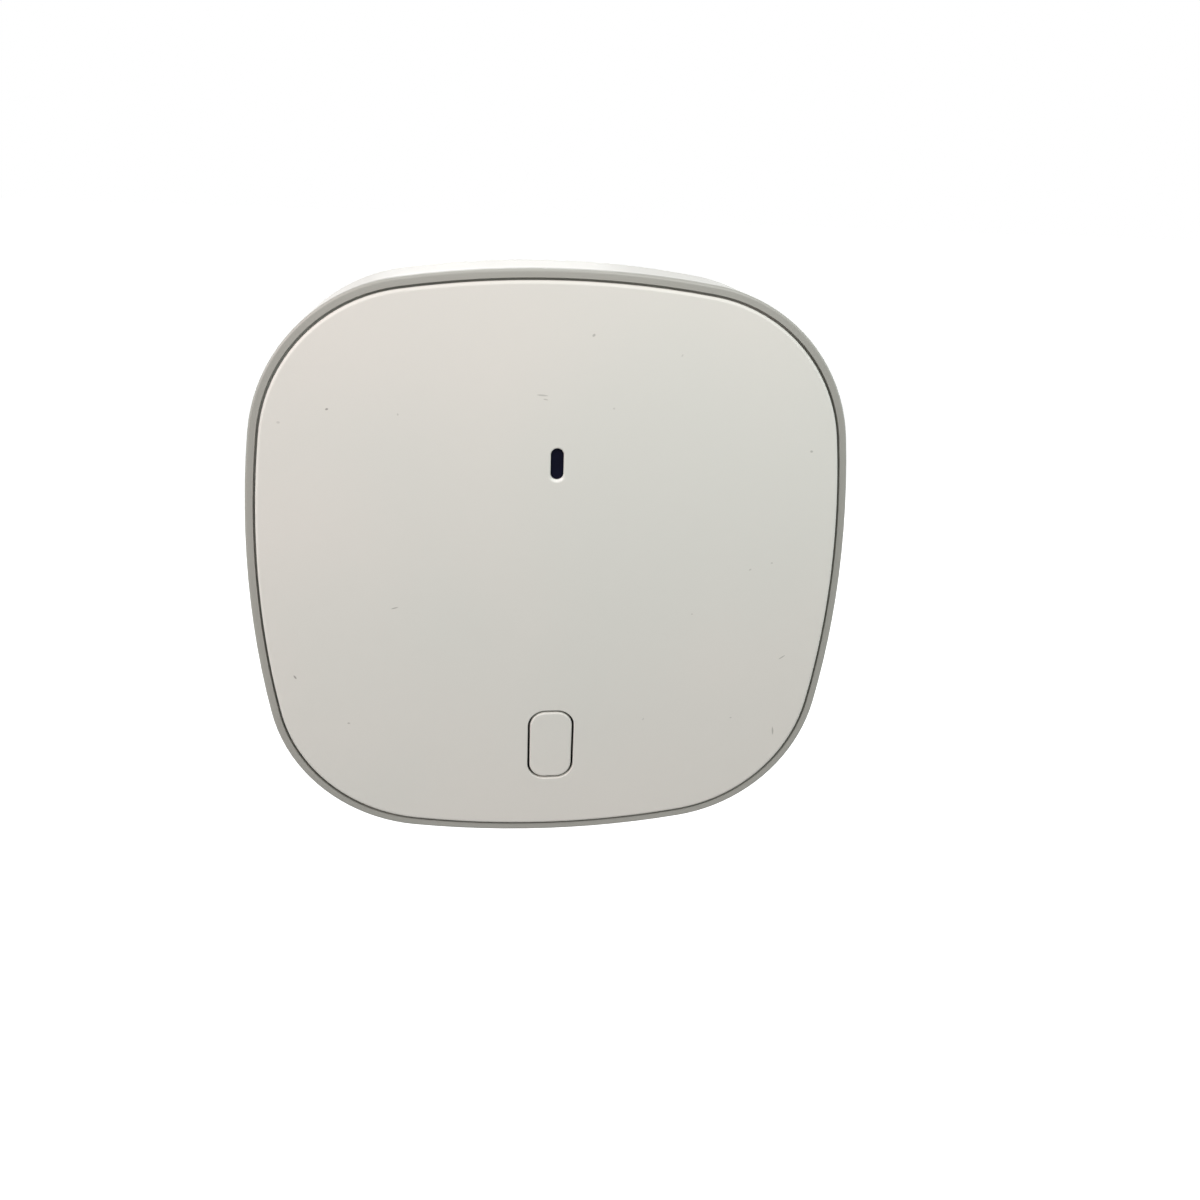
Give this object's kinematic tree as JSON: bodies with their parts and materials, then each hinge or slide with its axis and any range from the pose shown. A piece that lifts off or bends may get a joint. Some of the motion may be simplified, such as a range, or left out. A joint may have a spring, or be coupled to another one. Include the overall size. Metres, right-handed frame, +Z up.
{
  "type": "garage door controller",
  "caption": "Square wall-hung hub with rounded corners, a crowned front panel in a thin ring, a status slot and a push button, on a slide-off wall bracket.",
  "frame": {"origin": "on the wall plane, midway between the wall bracket's two screw holes", "axes": "+X to the right seen from the front, +Y into the wall, +Z up"},
  "size_m": [0.078, 0.028, 0.078],
  "materials": {
    "face_plastic": "white moulded plastic, fine matte",
    "shell_plastic": "white moulded plastic, satin",
    "ring_plastic": "warm grey moulded plastic, satin",
    "bracket_plastic": "white moulded plastic, matte",
    "smoked_lens": "dark smoked clear plastic, polished",
    "rubber_black": "black moulded rubber",
    "board": "green solder mask",
    "screw_steel": "zinc-plated steel",
    "tin_plate": "tin-plated sheet steel",
    "black_plastic": "black moulded plastic",
    "switch_cap": "ivory plastic",
    "can_aluminium": "drawn aluminium, satin",
    "ferrite": "dark grey ferrite",
    "ceramic": "brown ceramic",
    "lamp_resin": "pale lamp resin"
  },
  "bodies": {
    "bracket": {"mounting_bracket": "bracket_plastic"},
    "case": {"front_panel": "face_plastic", "trim_ring": "ring_plastic", "rear_shell": "shell_plastic", "status_lens": "smoked_lens", "lens_shroud": "rubber_black", "main_board": "board", "wifi_board": "board", "case_screws": "screw_steel", "board_screws": "screw_steel", "switch_base": "black_plastic", "switch_dome": "tin_plate", "switch_frame": "tin_plate", "status_led": "lamp_resin", "power_socket": "tin_plate", "socket_tongue": "black_plastic", "wifi_can": "tin_plate", "radio_can": "tin_plate", "aerial": "tin_plate", "sounder": "black_plastic", "processor": "black_plastic", "crystal": "tin_plate", "capacitors": "can_aluminium", "inductor": "ferrite", "chip_parts": "ceramic"},
    "button": {"settings_button": "face_plastic"},
    "plunger": {"switch_plunger": "switch_cap"}
  },
  "joints": [
    {"name": "bracket_slide", "type": "slide", "parent": "bracket", "child": "case", "axis": [0, 0, 1], "range_m": [0, 0.05]},
    {"name": "button_press", "type": "slide", "parent": "case", "child": "button", "axis": [0, 1, 0], "range_m": [0, 0.0005], "stiffness_N_per_m": 3200},
    {"name": "plunger_press", "type": "slide", "parent": "case", "child": "plunger", "axis": [0, 1, 0], "range_m": [0, 0.0005]}
  ],
  "couplings": [
    {"joint": "plunger_press", "follows": "button_press", "ratio": 1}
  ]
}
